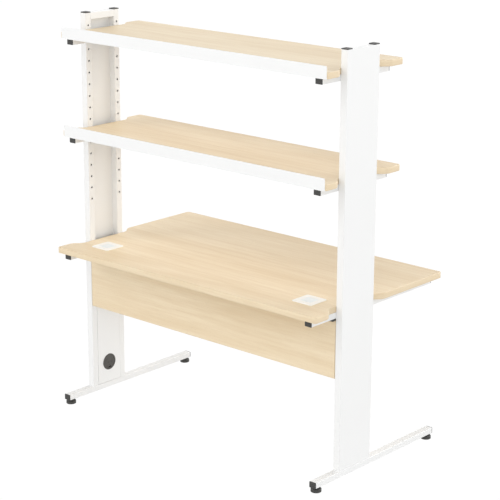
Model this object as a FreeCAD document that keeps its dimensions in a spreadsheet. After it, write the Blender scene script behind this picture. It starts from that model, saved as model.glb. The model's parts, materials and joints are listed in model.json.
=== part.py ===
import FreeCAD, Part
import os
import Sketcher
import PartDesign

# Free-standing computer desk with two clamped shelves above the desktop.
# Millimetres. +Z up, origin on the floor under the middle of the desk,
# -Y is the user's side (front), +Y the back, -X the user's left.

V = FreeCAD.Vector
doc = FreeCAD.newDocument("ComputerDesk")

# ---------------------------------------------------------------- dimensions
SIZES = [
    # desktop board
    ("desk_len", 1433), ("desk_dep", 813), ("desk_top", 721.5), ("board_thk", 25),
    ("corner_rad", 12), ("edge_rad", 2), ("waist_x", 682.5),
    ("dw_front", -8), ("dw_back", 324.5), ("dw_rad", 46),
    # square uprights of the two columns
    ("tube", 30), ("tube_wall", 2), ("tube_rad", 2.5), ("weld_rad", 0.8), ("col_in", 683.5),
    ("col_front", 49.5), ("col_back", 243), ("col_top", 1710),
    ("hole_dia", 9), ("hole_top", 1657.5), ("hole_pitch", 50), ("hole_count", 16),
    ("cap_thk", 4), ("cap_over", 0.5), ("plug_gap", 0.2), ("plug_len", 10),
    # foot rails and arms, one rectangular tube size
    ("rail_w", 32), ("rail_ht", 25), ("rail_wall", 2), ("rail_rad", 2.5),
    ("foot_z", 20), ("foot_x", 699.5), ("foot_y0", -378), ("foot_y1", 385.5),
    ("endcap_thk", 4), ("endcap_rad", 2),
    ("desk_arm_x", 667.5), ("desk_arm_y0", -375), ("desk_arm_y1", 388), ("shelf_arm_x", 667),
    # sheet metal of the columns
    ("sheet", 1.5), ("sheet_gap", 0.4), ("panel_thk", 1.2), ("cover_flange", 10),
    ("cover_z0", 46.5), ("cover_z1", 670),
    # cable grommet
    ("grom_z", 139), ("grom_flange_rad", 37), ("grom_hole_rad", 31),
    ("grom_throat_rad", 30.6), ("grom_seat_rad", 28.5), ("grom_ledge_rad", 26),
    # modesty panel
    ("modesty_thk", 18), ("modesty_z0", 425.5), ("modesty_z1", 668.5), ("modesty_half", 682),
    ("pblock_x", 671.5), ("pblock_w", 23), ("pblock_d", 19), ("pblock_h", 8.4),
    ("angle_leg", 40), ("angle_ht", 68), ("angle_thk", 3), ("angle_pos", 450),
    # shelves
    ("shelf_front", -101), ("shelf_back", 354.5), ("upper_top", 1641.5), ("lower_top", 1225),
    ("sw_front", -20), ("sw_back", 287), ("sw_rad", 40), ("shelf_corner", 4),
    ("shelf_arm_y0", -52.5), ("shelf_arm_y1", 346.5),
    ("lip_half", 709), ("lip_thk", 2.5), ("lip_up", 22.5), ("lip_leg", 24), ("lip_leg_half", 630),
    ("lip_leg_thk", 2), ("lip_corner", 6),
    ("cleat_w", 131), ("cleat_ht", 50), ("cleat_thk", 4), ("cleat_depth", 14),
    # square cable ports in the desktop
    ("port_x", 562), ("port_y", 256.5), ("port_cut", 86), ("port_flange", 99), ("port_proud", 3.5),
    ("port_throat", 85), ("port_deep", 22), ("port_seat", 54), ("port_way", 48), ("port_ledge_z", 721.1),
    ("lid_size", 53.2), ("lid_thk", 3.4), ("lid_pin_rad", 1), ("lid_pivot", 23.8),
    # levelling glides
    ("glide_y0", -358), ("glide_y1", 366), ("glide_rad", 21.5), ("glide_ht", 13.5), ("stud_rad", 4), ("stud_top", 37.5),
    ("insert_rad", 7), ("insert_top", 34),
    # fasteners
    ("bolt_rad", 4), ("bolt_head_rad", 6.5), ("bolt_head_ht", 5.3),
    ("wood_rad", 2.5), ("wood_head_rad", 5), ("wood_head_ht", 3), ("wood_bite", 16),
    ("small_rad", 2), ("small_head_rad", 4), ("small_head_ht", 2.4), ("small_bite", 13),
]

sheet = doc.addObject("Spreadsheet::Sheet", "Dims")
for row, (alias, value) in enumerate(SIZES, start=1):
    sheet.set("A%d" % row, alias)
    sheet.set("B%d" % row, str(value))
    sheet.setAlias("B%d" % row, alias)
doc.recompute()


class Size:
    """A length that keeps both its number and the sheet expression it comes from."""

    def __init__(self, value, text):
        self.value, self.text = float(value), text

    def _join(self, other, sign, swap=False):
        o = other if isinstance(other, Size) else Size(other, "%r" % float(other))
        a, b = (o, self) if swap else (self, o)
        n = {"+": a.value + b.value, "-": a.value - b.value, "*": a.value * b.value,
             "/": a.value / b.value if b.value else 0.0}[sign]
        return Size(n, "(%s %s %s)" % (a.text, sign, b.text))

    def __add__(self, o): return self._join(o, "+")
    def __radd__(self, o): return self._join(o, "+", True)
    def __sub__(self, o): return self._join(o, "-")
    def __rsub__(self, o): return self._join(o, "-", True)
    def __mul__(self, o): return self._join(o, "*")
    def __rmul__(self, o): return self._join(o, "*", True)
    def __truediv__(self, o): return self._join(o, "/")
    def __neg__(self): return Size(-self.value, "(0 - %s)" % self.text)


class Dims:
    pass


D = Dims()
for alias, value in SIZES:
    setattr(D, alias, Size(value, "Dims.%s" % alias))


def num(q):
    return q.value if isinstance(q, Size) else float(q)


def bind(obj, prop, q):
    """Give a property its size, as an expression when it comes from the sheet."""
    if isinstance(q, Size):
        obj.setExpression(prop, q.text)
    else:
        obj.setExpression(prop, "%r" % float(q))


def place(obj, x, y, z, rot=None):
    if rot is not None:
        obj.Placement = FreeCAD.Placement(V(0, 0, 0), rot)
    for axis, q in (("x", x), ("y", y), ("z", z)):
        bind(obj, "Placement.Base.%s" % axis, q)


TURN = FreeCAD.Rotation(V(0, 0, 1), 180)
NODES = []


def node(obj, name):
    obj.Label = name
    NODES.append((obj, name))
    return obj


# ---------------------------------------------------------------- sketching
def new_body(name):
    return doc.addObject("PartDesign::Body", name + "_body")


def origin_of(body, role):
    return [f for f in body.Origin.OriginFeatures if f.Role == role][0]


def sketch_on(body, name, role, lift=None):
    sk = body.newObject("Sketcher::SketchObject", name)
    sk.AttachmentSupport = [(origin_of(body, role), "")]
    sk.MapMode = "FlatFace"
    if lift is not None:
        sk.setExpression("AttachmentOffset.Base.z", lift.text if isinstance(lift, Size) else "%r" % float(lift))
    return sk


def outline(sk, points):
    """Closed outline whose every corner is held by two driven dimensions."""
    first = sk.GeometryCount
    n = len(points)
    for i in range(n):
        a, b = points[i], points[(i + 1) % n]
        sk.addGeometry(Part.LineSegment(V(num(a[0]), num(a[1]), 0), V(num(b[0]), num(b[1]), 0)), False)
    for i in range(n):
        sk.addConstraint(Sketcher.Constraint("Coincident", first + i, 2, first + (i + 1) % n, 1))
    for i, point in enumerate(points):
        for kind, q in (("DistanceX", point[0]), ("DistanceY", point[1])):
            c = sk.addConstraint(Sketcher.Constraint(kind, -1, 1, first + i, 1, num(q)))
            label = "g%d%s" % (first + i, kind[-1])
            sk.renameConstraint(c, label)
            if isinstance(q, Size):
                sk.setExpression("Constraints." + label, q.text)


def rect(sk, x0, x1, y0, y1):
    outline(sk, [(x0, y0), (x1, y0), (x1, y1), (x0, y1)])


def disc(sk, cx, cy, rad):
    g = sk.addGeometry(Part.Circle(V(num(cx), num(cy), 0), V(0, 0, 1), num(rad)), False)
    for kind, q in (("DistanceX", cx), ("DistanceY", cy)):
        c = sk.addConstraint(Sketcher.Constraint(kind, -1, 1, g, 3, num(q)))
        label = "c%d%s" % (g, kind[-1])
        sk.renameConstraint(c, label)
        if isinstance(q, Size):
            sk.setExpression("Constraints." + label, q.text)
    c = sk.addConstraint(Sketcher.Constraint("Radius", g, num(rad)))
    sk.renameConstraint(c, "r%d" % g)
    if isinstance(rad, Size):
        sk.setExpression("Constraints.r%d" % g, rad.text)


def pad(body, sk, length, back=False):
    f = body.newObject("PartDesign::Pad", sk.Name + "_pad")
    f.Profile = sk
    bind(f, "Length", length)
    f.Reversed = back
    body.Tip = f
    doc.recompute()
    return f


def pocket(body, sk, length, back=False, both=False):
    before = body.Shape.Volume
    f = body.newObject("PartDesign::Pocket", sk.Name + "_cut")
    f.Profile = sk
    if both:
        f.Type = "ThroughAll"
        if hasattr(f, "SideType"):
            f.SideType = "Symmetric"
        else:
            f.Midplane = True
    else:
        bind(f, "Length", length)
        f.Reversed = back
    body.Tip = f
    doc.recompute()
    if body.Shape.Volume > before - 1e-3:
        raise RuntimeError("pocket %s removes nothing" % f.Name)
    return f


def round_edges(body, rad, pick, name):
    """Fillet the edges of the body's last shape that pick() chooses."""
    base = body.Tip
    names = ["Edge%d" % (i + 1) for i, e in enumerate(base.Shape.Edges) if pick(e)]
    if not names:
        raise RuntimeError("no edges for %s" % name)
    f = body.newObject("PartDesign::Fillet", name)
    f.Base = (base, names)
    bind(f, "Radius", rad)
    body.Tip = f
    doc.recompute()
    return f


def bevel_edges(body, size, pick, name):
    base = body.Tip
    names = ["Edge%d" % (i + 1) for i, e in enumerate(base.Shape.Edges) if pick(e)]
    f = body.newObject("PartDesign::Chamfer", name)
    f.Base = (base, names)
    bind(f, "Size", size)
    body.Tip = f
    doc.recompute()
    return f


def ends(e):
    return e.Vertexes[0].Point, e.Vertexes[-1].Point


def upright_edge(e, spots):
    """True for an edge along Z that stands on one of the given (x, y) spots."""
    a, b = ends(e)
    if abs(a.x - b.x) > 1e-6 or abs(a.y - b.y) > 1e-6 or abs(a.z - b.z) < 1:
        return False
    return any(abs(a.x - num(x)) < 0.01 and abs(a.y - num(y)) < 0.01 for x, y in spots)


# ---------------------------------------------------------------- primitives
def block(name, x0, x1, y0, y1, z0, z1):
    b = doc.addObject("Part::Box", name)
    bind(b, "Length", x1 - x0)
    bind(b, "Width", y1 - y0)
    bind(b, "Height", z1 - z0)
    place(b, x0, y0, z0)
    return b


AXES = {"+Z": FreeCAD.Rotation(), "-Z": FreeCAD.Rotation(V(1, 0, 0), 180),
        "+X": FreeCAD.Rotation(V(0, 1, 0), 90), "-X": FreeCAD.Rotation(V(0, 1, 0), -90),
        "+Y": FreeCAD.Rotation(V(1, 0, 0), -90), "-Y": FreeCAD.Rotation(V(1, 0, 0), 90)}
STEP = {"+Z": (0, 0, 1), "-Z": (0, 0, -1), "+X": (1, 0, 0), "-X": (-1, 0, 0), "+Y": (0, 1, 0), "-Y": (0, -1, 0)}


def rod(name, rad, length, x, y, z, way="+Z"):
    c = doc.addObject("Part::Cylinder", name)
    bind(c, "Radius", rad)
    bind(c, "Height", length)
    place(c, x, y, z, AXES[way])
    return c


def hexrod(name, rad, length, x, y, z, way="+Z"):
    c = doc.addObject("Part::Prism", name)
    c.Polygon = 6
    bind(c, "Circumradius", rad)
    bind(c, "Height", length)
    place(c, x, y, z, AXES[way])
    return c


def fuse(name, shapes):
    f = doc.addObject("Part::MultiFuse", name)
    f.Shapes = shapes
    f.Refine = True
    doc.recompute()
    return f


def cut(name, base, tool):
    f = doc.addObject("Part::Cut", name)
    f.Base = base
    f.Tool = tool
    doc.recompute()
    return f


def group(name, shapes):
    g = doc.addObject("Part::Compound", name)
    g.Links = shapes
    doc.recompute()
    return g


def step(x, y, z, way, q):
    d = STEP[way]
    return x + q * d[0] if d[0] else x, y + q * d[1] if d[1] else y, z + q * d[2] if d[2] else z


def screw(name, x, y, z, way, shank_rad, bite, head_rad, head_ht):
    """Round-headed screw: the head's underside is at x, y, z and the shank runs along way."""
    back = {"+": "-", "-": "+"}[way[0]] + way[1]
    shank = rod(name + "_shank", shank_rad, bite, x, y, z, way)
    head = rod(name + "_head", head_rad, head_ht, x, y, z, back)
    soft = doc.addObject("Part::Fillet", name + "_crown")
    soft.Base = head
    doc.recompute()
    hx, hy, hz = (num(q) for q in step(x, y, z, back, head_ht))
    edges = []
    for i, e in enumerate(head.Shape.Edges):
        if isinstance(e.Curve, Part.Circle) and (e.Curve.Center - V(hx, hy, hz)).Length < 0.01:
            edges.append((i + 1, num(head_ht) * 0.6, num(head_ht) * 0.6))
    soft.Edges = edges
    return fuse(name, [shank, soft])


def bolt(name, x, y, z, way, bite):
    """Hex bolt: the head's underside is at x, y, z and the shank runs along way."""
    back = {"+": "-", "-": "+"}[way[0]] + way[1]
    shank = rod(name + "_shank", D.bolt_rad, bite, x, y, z, way)
    head = hexrod(name + "_head", D.bolt_head_rad + 1, D.bolt_head_ht, x, y, z, back)
    return fuse(name, [shank, head])


# ---------------------------------------------------------------- rectangular rails
def rail(name, x, z, y0, y1, cross=(), drop=(), drop_rad=None, drop_both=True):
    """White rectangular tube along Y. x is its middle, z its underside."""
    body = new_body(name)
    sk = sketch_on(body, name + "_section", "XZ_Plane")
    w, t = D.rail_w / 2, D.rail_wall
    rect(sk, -w, w, 0, D.rail_ht)
    rect(sk, -w + t, w - t, t, D.rail_ht - t)
    pad(body, sk, y1 - y0, back=True)

    def outer_long(e):
        a, b = ends(e)
        return abs(a.y - b.y) > 1 and abs(abs(a.x) - num(w)) < 0.01

    round_edges(body, D.rail_rad, outer_long, name + "_rounding")
    if cross:
        sk = sketch_on(body, name + "_bolts", "YZ_Plane")
        for y, rad in cross:
            disc(sk, y - y0, D.rail_ht / 2, rad)
        pocket(body, sk, None, both=True)
    if drop:
        sk = sketch_on(body, name + "_drops", "XY_Plane")
        for y in drop:
            disc(sk, 0, y - y0, drop_rad)
        if drop_both:
            pocket(body, sk, None, both=True)
        else:
            pocket(body, sk, D.rail_wall + 1, back=True)
    place(body, x, y0, z)
    return node(body, name)


def rail_cap(name, x, z, y, outward):
    """Black plug for one end of a rail; outward is +1 or -1 along Y."""
    body = new_body(name)
    sk = sketch_on(body, name + "_face", "XZ_Plane")
    w = D.rail_w / 2
    rect(sk, -w, w, 0, D.rail_ht)
    pad(body, sk, D.endcap_thk, back=True)
    round_edges(body, D.rail_rad, lambda e: abs(ends(e)[0].y - ends(e)[1].y) > 1, name + "_corners")
    far = num(D.endcap_thk)
    round_edges(body, D.endcap_rad, lambda e: abs(ends(e)[0].y - far) < 0.01 and abs(ends(e)[1].y - far) < 0.01,
                name + "_crown")
    g, t = D.plug_gap, D.rail_wall
    sk = sketch_on(body, name + "_plug", "XZ_Plane")
    rect(sk, -w + t + g, w - t - g, t + g, D.rail_ht - t - g)
    pad(body, sk, D.plug_len)
    sk = sketch_on(body, name + "_hollow", "XZ_Plane", D.plug_len)
    rect(sk, -w + t + g + 2, w - t - g - 2, t + g + 2, D.rail_ht - t - g - 2)
    pocket(body, sk, D.plug_len - 1)
    if outward > 0:
        place(body, x, y, z)
    else:
        place(body, x, y, z, TURN)
    return body


# ---------------------------------------------------------------- columns
def upright(name, side, yc):
    """Square tube; its holed inner face looks at the middle of the desk."""
    body = new_body(name)
    sk = sketch_on(body, name + "_section", "XY_Plane")
    q, t = D.tube / 2, D.tube_wall
    rect(sk, 0, D.tube, -q, q)
    rect(sk, t, D.tube - t, -q + t, q - t)
    base = D.foot_z + D.rail_ht
    pad(body, sk, D.col_top - base)
    near, far = [(0, -q), (0, q)], [(D.tube, -q), (D.tube, q)]
    round_edges(body, D.tube_rad, lambda e: upright_edge(e, near), name + "_rounding")
    round_edges(body, D.weld_rad, lambda e: upright_edge(e, far), name + "_weld_corners")
    # arm bolt hole in the inner wall, beside the desktop
    sk = sketch_on(body, name + "_armhole", "YZ_Plane")
    disc(sk, 0, D.desk_top - D.board_thk - D.rail_ht / 2 - base, D.bolt_rad + 0.1)
    pocket(body, sk, D.tube_wall + 1, back=True)
    # row of accessory holes above the desktop
    sk = sketch_on(body, name + "_hole", "YZ_Plane")
    disc(sk, 0, D.hole_top - base, D.hole_dia / 2)
    one = pocket(body, sk, D.tube_wall + 1, back=True)
    row = body.newObject("PartDesign::LinearPattern", name + "_row")
    row.Originals = [one]
    row.Direction = (origin_of(body, "Z_Axis"), [""])
    row.Reversed = True
    bind(row, "Length", D.hole_pitch * (D.hole_count - 1))
    row.setExpression("Occurrences", "Dims.hole_count")
    body.Tip = row
    doc.recompute()
    x = D.col_in if side > 0 else -D.col_in
    place(body, x, yc, base, None if side > 0 else TURN)
    return node(body, name)


def upright_cap(name, side, yc):
    body = new_body(name)
    q, t, g = D.tube / 2, D.tube_wall, D.plug_gap
    w = q + D.cap_over
    sk = sketch_on(body, name + "_top", "XY_Plane")
    rect(sk, -w, w, -w, w)
    pad(body, sk, D.cap_thk)
    spots = [(-w, -w), (-w, w), (w, -w), (w, w)]
    round_edges(body, D.tube_rad, lambda e: upright_edge(e, spots), name + "_corners")
    top = num(D.cap_thk)
    bevel_edges(body, 1, lambda e: abs(ends(e)[0].z - top) < 0.01 and abs(ends(e)[1].z - top) < 0.01, name + "_bevel")
    sk = sketch_on(body, name + "_plug", "XY_Plane")
    rect(sk, -q + t + g, q - t - g, -q + t + g, q - t - g)
    pad(body, sk, D.plug_len, back=True)
    x = D.col_in + D.tube / 2
    place(body, x if side > 0 else -x, yc, D.col_top)
    return body


def top_rail(name, side):
    body = new_body(name)
    sk = sketch_on(body, name + "_section", "XZ_Plane")
    q, t = D.tube / 2, D.tube_wall
    rect(sk, -q, q, 0, D.tube)
    rect(sk, -q + t, q - t, t, D.tube - t)
    pad(body, sk, D.col_back - D.col_front - D.tube * 2, back=True)
    round_edges(body, D.tube_rad, lambda e: abs(ends(e)[0].y - ends(e)[1].y) > 1 and abs(abs(ends(e)[0].x) - num(q)) < 0.01,
                name + "_rounding")
    x = D.col_in + q
    place(body, x if side > 0 else -x, D.col_front + D.tube, D.col_top - D.tube)
    return node(body, name)


def outer_panel(name, side):
    """Flat sheet welded over the outer faces of both uprights; local x runs outwards."""
    body = new_body(name)
    half = (D.col_back - D.col_front) / 2
    base = D.foot_z + D.rail_ht
    sk = sketch_on(body, name + "_section", "XY_Plane")
    rect(sk, D.tube, D.tube + D.panel_thk, -half, half)
    pad(body, sk, D.col_top - base)
    spots = [(D.tube + D.panel_thk, -half), (D.tube + D.panel_thk, half)]
    round_edges(body, D.weld_rad, lambda e: upright_edge(e, spots), name + "_rounding")
    yc = (D.col_front + D.col_back) / 2
    place(body, D.col_in if side > 0 else -D.col_in, yc, base, None if side > 0 else TURN)
    return node(body, name)


def cable_cover(name, side):
    """Folded sheet that closes the channel's inner side below the desktop."""
    body = new_body(name)
    g, t, f = D.sheet_gap, D.sheet, D.cover_flange
    half = (D.col_back - D.col_front - D.tube * 2) / 2 - g
    sk = sketch_on(body, name + "_section", "XY_Plane")
    outline(sk, [(0, -half), (f, -half), (f, -half + t), (t, -half + t), (t, half - t), (f, half - t), (f, half), (0, half)])
    pad(body, sk, D.cover_z1 - D.cover_z0)
    sk = sketch_on(body, name + "_outlet", "YZ_Plane")
    disc(sk, 0, D.grom_z - D.cover_z0, D.grom_hole_rad)
    pocket(body, sk, D.sheet + 1, back=True)
    yc = (D.col_front + D.col_back) / 2
    place(body, D.col_in if side > 0 else -D.col_in, yc, D.cover_z0, None if side > 0 else TURN)
    return node(body, name)


def turned(name, points, label):
    """Solid of revolution about local Z from (radius, height) corners."""
    body = new_body(name)
    sk = sketch_on(body, name + "_profile", "XZ_Plane")
    outline(sk, points)
    f = body.newObject("PartDesign::Revolution", name + "_turn")
    f.Profile = sk
    f.ReferenceAxis = (sk, ["V_Axis"])
    f.Angle = 360
    body.Tip = f
    doc.recompute()
    return body


def grommet(tag, side):
    """Cable outlet; local +Z points out of the cover, at the middle of the desk."""
    yc = (D.col_front + D.col_back) / 2
    rot = FreeCAD.Rotation(V(0, 1, 0), -90 if side > 0 else 90)
    x = D.col_in if side > 0 else -D.col_in
    s, l = D.grom_seat_rad, D.grom_ledge_rad
    ring = turned(tag + "_grommet_ring", [
        (s, 3), (D.grom_flange_rad - 1.5, 3), (D.grom_flange_rad, 1.2), (D.grom_flange_rad, 0), (D.grom_throat_rad, 0),
        (D.grom_throat_rad, -9), (l + 2, -9), (l + 2, -3), (l, -3), (l, -1), (s, -1)], "ring")
    place(ring, x, yc, D.grom_z, rot)
    node(ring, tag + "_grommet_ring")
    cap = turned(tag + "_grommet_cap", [
        (0, 3.2), (s - 6, 2.9), (s - 0.4, 1.8), (s - 0.4, -0.6), (l - 0.4, -0.6), (l - 0.4, -3.4), (l + 0.8, -3.4),
        (l + 0.5, -4.6), (l - 2.4, -4.6), (l - 2.4, 0.6), (0, 0.6)], "cap")
    # cable slot at the lowest part of the rim and two finger dimples beside the middle
    sk = sketch_on(cap, tag + "_slot", "XY_Plane", 10)
    if side > 0:
        rect(sk, -(s + 4), -(s - 9), -6, 6)
    else:
        rect(sk, s - 9, s + 4, -6, 6)
    pocket(cap, sk, 30)
    sk = sketch_on(cap, tag + "_dimples", "XY_Plane", 10)
    disc(sk, 0, -9, 4)
    disc(sk, 0, 9, 4)
    pocket(cap, sk, 10 - 1.8)
    place(cap, x, yc, D.grom_z, rot)
    node(cap, tag + "_grommet_cap")


# ---------------------------------------------------------------- boards
def waisted_board(name, half, y0, y1, w_front, w_back, w_rad, back_rad, z):
    """Board whose ends step in round the columns along 45 degree runs with soft bends."""
    body = new_body(name)
    w = D.waist_x
    run = half - w
    pts = [(-half, y0), (half, y0), (half, w_front), (w, w_front + run), (w, w_back - run), (half, w_back),
           (half, y1), (-half, y1), (-half, w_back), (-w, w_back - run), (-w, w_front + run), (-half, w_front)]
    sk = sketch_on(body, name + "_outline", "XY_Plane")
    outline(sk, pts)
    pad(body, sk, D.board_thk)
    bends = [pts[i] for i in (2, 3, 4, 5, 8, 9, 10, 11)]
    round_edges(body, w_rad, lambda e: upright_edge(e, bends), name + "_bends")
    round_edges(body, D.corner_rad, lambda e: upright_edge(e, pts[0:2]), name + "_front_corners")
    round_edges(body, back_rad, lambda e: upright_edge(e, pts[6:8]), name + "_back_corners")
    top = num(D.board_thk)

    def rim(e):
        zs = [v.Point.z for v in e.Vertexes]
        return all(abs(q) < 0.01 for q in zs) or all(abs(q - top) < 0.01 for q in zs)

    round_edges(body, D.edge_rad, rim, name + "_rim")
    place(body, 0, 0, z)
    return body


def blind_holes(body, name, spots, rad, deep):
    """Pilot holes from the underside of a board."""
    sk = sketch_on(body, name, "XY_Plane")
    for x, y in spots:
        disc(sk, x, y, rad + 0.1)
    pocket(body, sk, deep + 0.5, back=True)


# ================================================================ end frames
SIDES = (("left", -1), ("right", 1))
yf = D.col_front + D.tube / 2
yb = D.col_back - D.tube / 2
arm_z = D.desk_top - D.board_thk - D.rail_ht
desk_screw_y = (-300, -110, 330)

caps_feet, caps_up, caps_arm, inserts = [], [], [], []
for tag, s in SIDES:
    fx = D.foot_x if s > 0 else -D.foot_x
    rail(tag + "_foot_rail", fx, D.foot_z, D.foot_y0, D.foot_y1, drop=(D.glide_y0, D.glide_y1),
         drop_rad=D.insert_rad, drop_both=False)
    caps_feet.append(rail_cap(tag + "_foot_cap_back", fx, D.foot_z, D.foot_y1, 1))
    caps_feet.append(rail_cap(tag + "_foot_cap_front", fx, D.foot_z, D.foot_y0, -1))
    upright(tag + "_front_upright", s, yf)
    upright(tag + "_back_upright", s, yb)
    caps_up.append(upright_cap(tag + "_front_cap", s, yf))
    caps_up.append(upright_cap(tag + "_back_cap", s, yb))
    top_rail(tag + "_top_rail", s)
    outer_panel(tag + "_outer_panel", s)
    cable_cover(tag + "_cable_cover", s)
    grommet(tag, s)
    ax = D.desk_arm_x if s > 0 else -D.desk_arm_x
    rail(tag + "_desktop_arm", ax, arm_z, D.desk_arm_y0, D.desk_arm_y1,
         cross=((yf, D.bolt_rad + 0.25), (yb, D.bolt_rad + 0.25)), drop=desk_screw_y, drop_rad=D.wood_rad + 0.3)
    caps_arm.append(rail_cap(tag + "_arm_cap_back", ax, arm_z, D.desk_arm_y1, 1))
    caps_arm.append(rail_cap(tag + "_arm_cap_front", ax, arm_z, D.desk_arm_y0, -1))
node(group("foot_end_caps_group", caps_feet), "foot_end_caps")
node(group("upright_top_caps_group", caps_up), "upright_top_caps")
node(group("desktop_arm_caps_group", caps_arm), "desktop_arm_caps")

# ================================================================ levelling glides
for tag, s in SIDES:
    fx = D.foot_x if s > 0 else -D.foot_x
    for where, gy in (("front", D.glide_y0), ("back", D.glide_y1)):
        name = "%s_%s_glide" % (tag, where)
        r = D.glide_rad
        base = turned(name + "_base", [
            (D.stud_rad + 0.05, 0.8), (r - 8, 0.8), (r - 7, 0), (r - 1.5, 0), (r, 1.2), (r, D.glide_ht - 1.6),
            (r - 1.6, D.glide_ht), (11, D.glide_ht), (9.5, D.glide_ht - 1.2), (D.stud_rad + 0.05, D.glide_ht - 1.2)], "base")
        place(base, fx, gy, 0)
        node(base, name + "_base")
        stud = turned(name + "_stud", [
            (0, 1.2), (D.stud_rad, 1.2), (D.stud_rad, D.stud_top - 1), (D.stud_rad - 1, D.stud_top), (0, D.stud_top)], "stud")
        place(stud, fx, gy, 0)
        node(stud, name + "_stud")
        ins = turned(name + "_insert", [
            (D.stud_rad + 0.1, D.foot_z - 1), (D.insert_rad + 2, D.foot_z - 1), (D.insert_rad + 2, D.foot_z),
            (D.insert_rad - 0.05, D.foot_z), (D.insert_rad - 0.05, D.insert_top), (D.stud_rad + 0.1, D.insert_top)], "insert")
        place(ins, fx, gy, 0)
        inserts.append(ins)
node(group("glide_inserts_group", inserts), "glide_inserts")

# ================================================================ desktop
desk = waisted_board("desktop", D.desk_len / 2, -D.desk_dep / 2, D.desk_dep / 2, D.dw_front, D.dw_back, D.dw_rad,
                     D.corner_rad, D.desk_top - D.board_thk)
sk = sketch_on(desk, "desktop_ports", "XY_Plane")
pc = D.port_cut / 2
for s in (-1, 1):
    cx = D.port_x * s
    rect(sk, cx - pc, cx + pc, D.port_y - pc, D.port_y + pc)
pocket(desk, sk, None, both=True)
spots = [(D.desk_arm_x * s, y) for s in (-1, 1) for y in desk_screw_y]
blind_holes(desk, "desktop_pilots", spots, D.wood_rad, D.wood_bite)
angle_y = D.col_back - D.modesty_thk - D.angle_leg * 0.6
angle_spots = [(D.angle_pos * k + d, angle_y) for k in (-1, 0, 1) for d in (-12, 12)]
blind_holes(desk, "desktop_angle_pilots", angle_spots, D.small_rad, D.small_bite)
node(desk, "desktop")

node(group("desktop_screws_group", [
    screw("desktop_screw_%d" % i, x, y, arm_z, "+Z", D.wood_rad, D.rail_ht + D.wood_bite, D.wood_head_rad + 1, D.wood_head_ht)
    for i, (x, y) in enumerate(spots)]), "desktop_screws")

bolts = []
for tag, s in SIDES:
    hx = D.desk_arm_x - D.rail_w / 2
    for i, y in enumerate((yf, yb)):
        bolts.append(bolt("%s_arm_bolt_%d" % (tag, i), hx if s > 0 else -hx, y, arm_z + D.rail_ht / 2,
                          "+X" if s > 0 else "-X", D.rail_w + 8))
node(group("arm_bolts_group", bolts), "arm_bolts")

# ================================================================ modesty panel
mod = new_body("modesty_panel")
sk = sketch_on(mod, "modesty_face", "XZ_Plane")
rect(sk, -D.modesty_half, D.modesty_half, 0, D.modesty_z1 - D.modesty_z0)
pad(mod, sk, D.modesty_thk, back=True)
thk = num(D.modesty_thk)
round_edges(mod, 1.5, lambda e: abs(ends(e)[0].y - ends(e)[1].y) < 0.01, "modesty_rim")
leg_z = D.desk_top - D.board_thk
pilots = [(D.angle_pos * k + d, leg_z - D.angle_ht + 14 - D.modesty_z0) for k in (-1, 0, 1) for d in (-12, 12)]
sk = sketch_on(mod, "modesty_pilots", "XZ_Plane")
for x, z in pilots:
    disc(sk, x, z, D.small_rad + 0.1)
pocket(mod, sk, D.small_bite - D.angle_thk + 0.5)
front = D.col_back - D.modesty_thk
place(mod, 0, front, D.modesty_z0)
node(mod, "modesty_panel")

angles, small = [], []
for k in (-1, 0, 1):
    name = "modesty_angle_%d" % (k + 1)
    a = new_body(name)
    sk = sketch_on(a, name + "_section", "YZ_Plane")
    t, leg, high = D.angle_thk, D.angle_leg, D.angle_ht
    outline(sk, [(0, 0), (0, -high), (-t, -high), (-t, -t), (-leg, -t), (-leg, 0)])
    pad(a, sk, 40)
    sk = sketch_on(a, name + "_upholes", "XY_Plane")
    for d in (-12, 12):
        disc(sk, 20 + d, -D.angle_leg * 0.6, D.small_rad + 0.2)
    pocket(a, sk, D.angle_thk + 1)
    sk = sketch_on(a, name + "_backholes", "XZ_Plane")
    for d in (-12, 12):
        disc(sk, 20 + d, 14 - D.angle_ht, D.small_rad + 0.2)
    pocket(a, sk, None, both=True)
    place(a, D.angle_pos * k - 20, front, leg_z)
    angles.append(a)
    for d in (-12, 12):
        x = D.angle_pos * k + d
        small.append(screw("modesty_up_screw_%d%s" % (k + 1, "ab"[d > 0]), x, angle_y, leg_z - D.angle_thk, "+Z",
                           D.small_rad, D.small_bite, D.small_head_rad, D.small_head_ht))
        small.append(screw("modesty_back_screw_%d%s" % (k + 1, "ab"[d > 0]), x, front - D.angle_thk, leg_z - D.angle_ht + 14, "+Y",
                           D.small_rad, D.small_bite, D.small_head_rad, D.small_head_ht))
# dark corner blocks under the arms, behind the panel's top corners
for tag, s in SIDES:
    name = tag + "_panel_block"
    b = new_body(name)
    sk = sketch_on(b, name + "_plan", "XY_Plane")
    rect(sk, -D.pblock_w / 2, D.pblock_w / 2, 0, D.pblock_d)
    pad(b, sk, D.pblock_h)
    back = num(D.pblock_d)
    round_edges(b, 2, lambda e: abs(ends(e)[0].z - ends(e)[1].z) > 1 and abs(ends(e)[0].y - back) < 0.01, name + "_corners")
    round_edges(b, 1, lambda e: all(abs(v.Point.z) < 0.01 for v in e.Vertexes), name + "_under")
    place(b, D.pblock_x if s > 0 else -D.pblock_x, D.col_back + 0.1, arm_z - 0.1 - D.pblock_h)
    angles.append(b)
node(group("modesty_brackets_group", angles), "modesty_brackets")
node(group("modesty_screws_group", small), "modesty_screws")

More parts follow.
